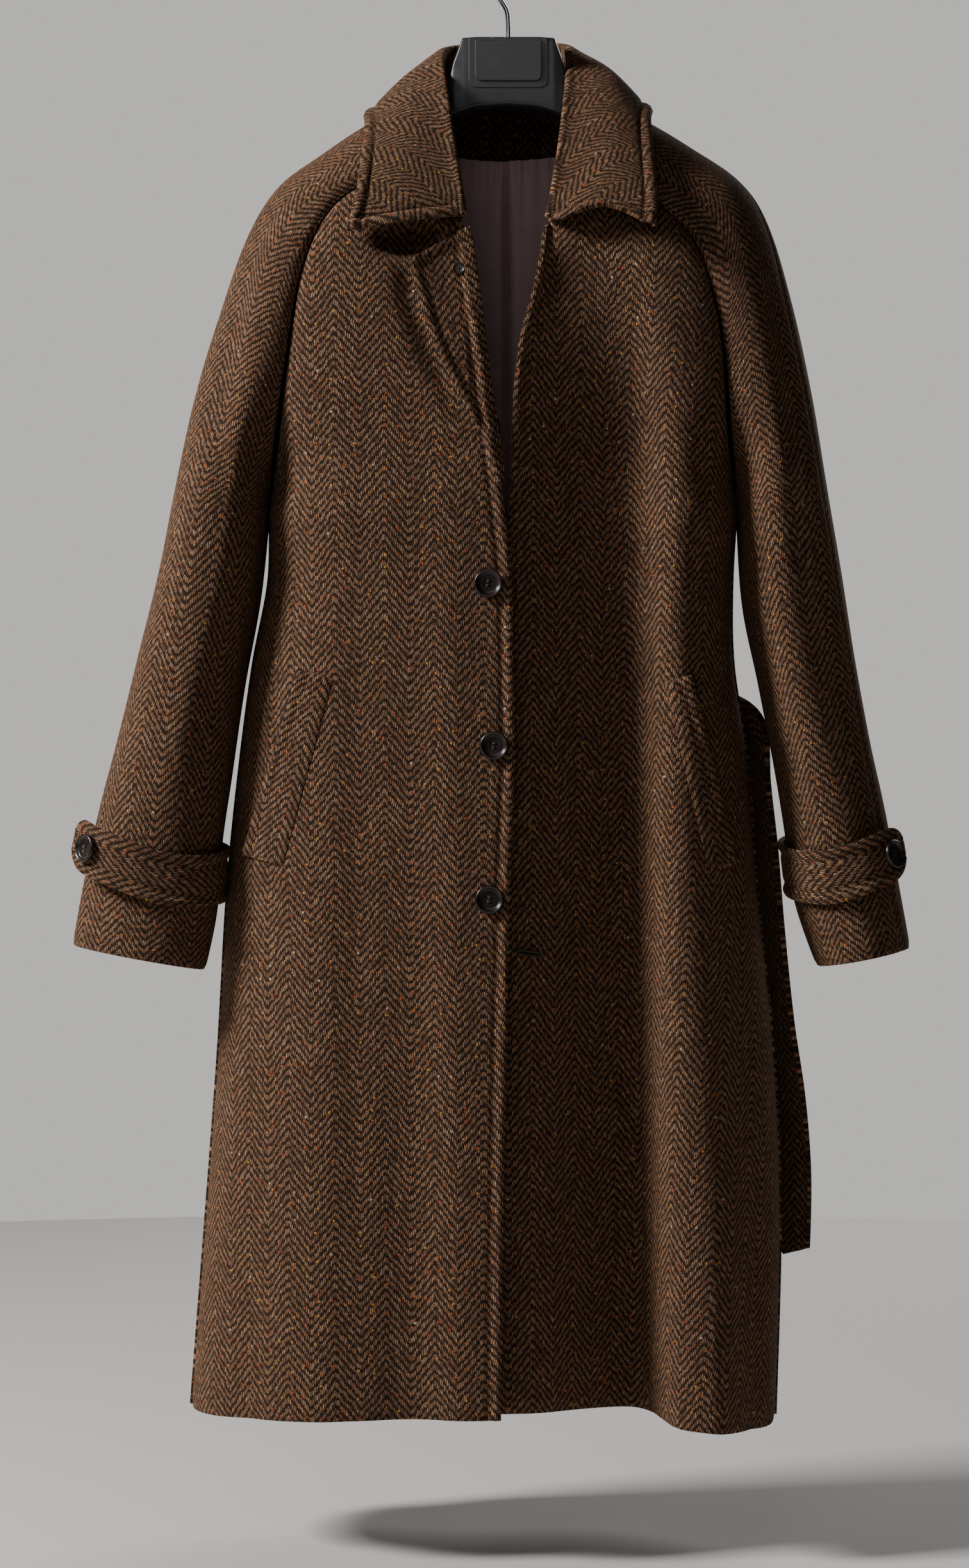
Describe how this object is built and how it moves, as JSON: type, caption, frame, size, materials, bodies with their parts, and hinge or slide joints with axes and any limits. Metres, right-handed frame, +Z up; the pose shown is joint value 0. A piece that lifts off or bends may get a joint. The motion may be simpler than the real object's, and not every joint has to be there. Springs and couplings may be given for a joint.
{
  "type": "balmacaan coat on a coat hanger",
  "caption": "Heavy herringbone tweed balmacaan coat with raglan sleeves, cuff straps and a loose belt, hanging open on a moulded coat hanger.",
  "frame": {"origin": "the inner top of the hanger's hook, where a rail bears", "axes": "+X to the wearer's left, +Y to the back of the coat, +Z up"},
  "size_m": [0.7392, 0.3035, 1.3131],
  "materials": {
    "tweed": "fuzzy brown herringbone tweed",
    "lining": "satin twill lining, mauve brown",
    "horn": "polished dark horn",
    "hanger_plastic": "satin black moulded plastic",
    "chrome": "polished"
  },
  "bodies": {
    "root": {"right_front": "tweed", "left_front": "tweed", "back": "tweed", "right_sleeve_front": "tweed", "right_sleeve_back": "tweed", "left_sleeve_front": "tweed", "left_sleeve_back": "tweed", "collar": "tweed", "right_lapel": "tweed", "right_pocket_welt": "tweed", "left_pocket_welt": "tweed", "back_neck_facing": "tweed", "right_cuff_strap": "tweed", "left_cuff_strap": "tweed", "belt": "tweed", "right_belt_loop": "tweed", "left_belt_loop": "tweed", "back_lining": "lining", "right_cuff_button": "horn", "left_cuff_button": "horn", "front_button_1": "horn", "front_button_2": "horn", "front_button_3": "horn", "front_button_4": "horn", "front_button_5": "horn", "hanger_body": "hanger_plastic", "hanger_plate": "hanger_plastic", "hanger_hook": "chrome"}
  },
  "joints": []
}
